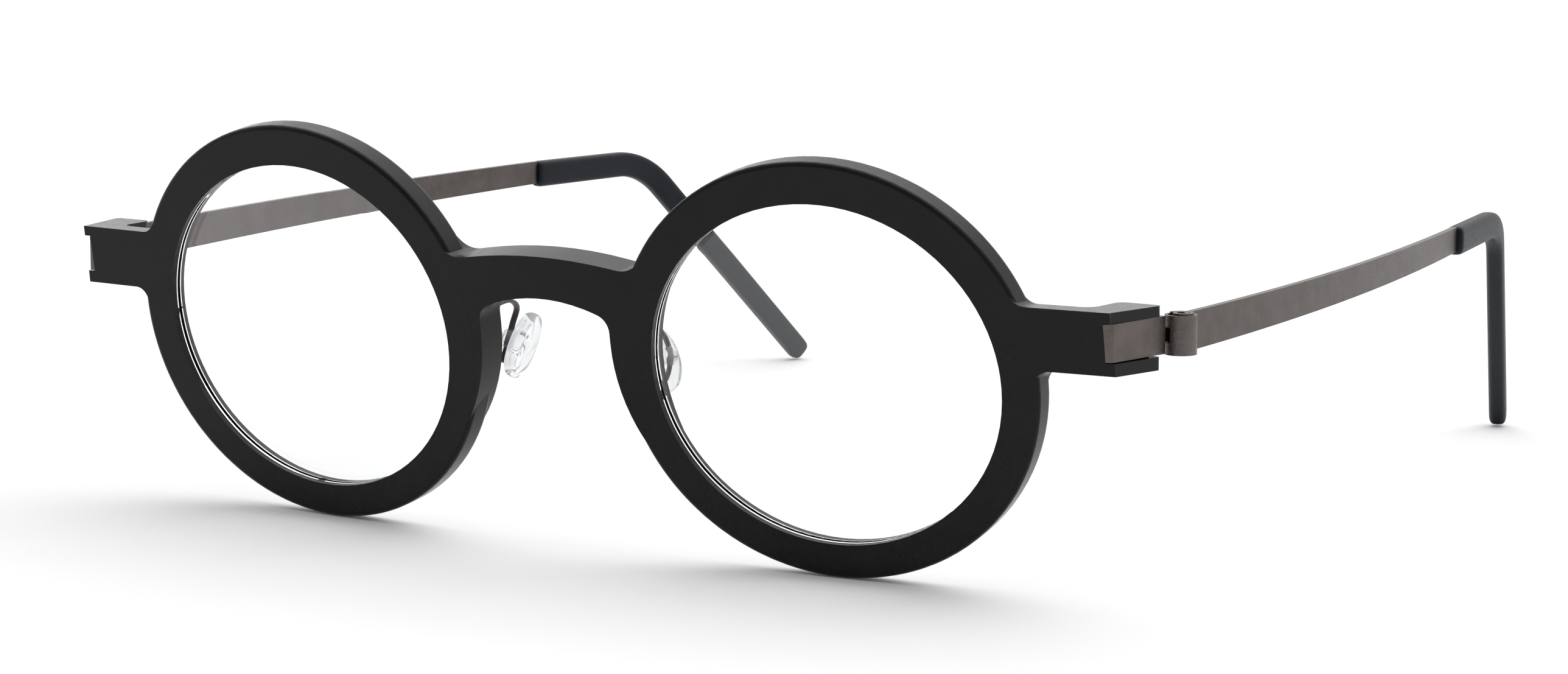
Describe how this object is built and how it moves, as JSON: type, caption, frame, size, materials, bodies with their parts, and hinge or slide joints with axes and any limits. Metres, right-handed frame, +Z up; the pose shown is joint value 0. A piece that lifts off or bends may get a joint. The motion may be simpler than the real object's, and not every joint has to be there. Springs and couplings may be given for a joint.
{
  "type": "round eyeglasses",
  "caption": "Round eyeglasses: black acetate front with clear lenses, sheet-titanium folding temples on rolled hinges, rubber tips and silicone nose pads.",
  "frame": {"origin": "centre of the footprint at table level, with the glasses standing open on their rims and temple ends", "axes": "+Z up, +X towards the wearer's left, -Y towards the front of the glasses"},
  "size_m": [0.145, 0.1438, 0.0463],
  "materials": {
    "acetate": "satin black cellulose acetate with polished edges",
    "titanium": "fine matte beta titanium sheet, warm grey",
    "blasted_titanium": "bead-blasted titanium, coarser grain",
    "black_rubber": "smooth black moulded rubber",
    "clear_silicone": "clear moulded silicone",
    "lens": "clear plano lens"
  },
  "bodies": {
    "front": {"front_frame": "acetate", "lens_left": "lens", "end_plate_left": "titanium", "hinge_coil_left": "blasted_titanium", "pad_arm_left": "titanium", "nose_pad_left": "clear_silicone", "lens_right": "lens", "end_plate_right": "titanium", "hinge_coil_right": "blasted_titanium", "pad_arm_right": "titanium", "nose_pad_right": "clear_silicone"},
    "temple_left": {"hinge_barrel_left": "blasted_titanium", "temple_strip_left": "titanium", "temple_tip_left": "black_rubber"},
    "temple_right": {"hinge_barrel_right": "blasted_titanium", "temple_strip_right": "titanium", "temple_tip_right": "black_rubber"}
  },
  "joints": [
    {"name": "temple_fold_left", "type": "hinge", "parent": "front", "child": "temple_left", "pos_m": [0.0708, -0.05488, 0.02867], "axis": [0, 0, 1], "range_deg": [0, 84]},
    {"name": "temple_fold_right", "type": "hinge", "parent": "front", "child": "temple_right", "pos_m": [-0.0708, -0.05488, 0.02867], "axis": [0, 0, -1], "range_deg": [0, 80]}
  ]
}
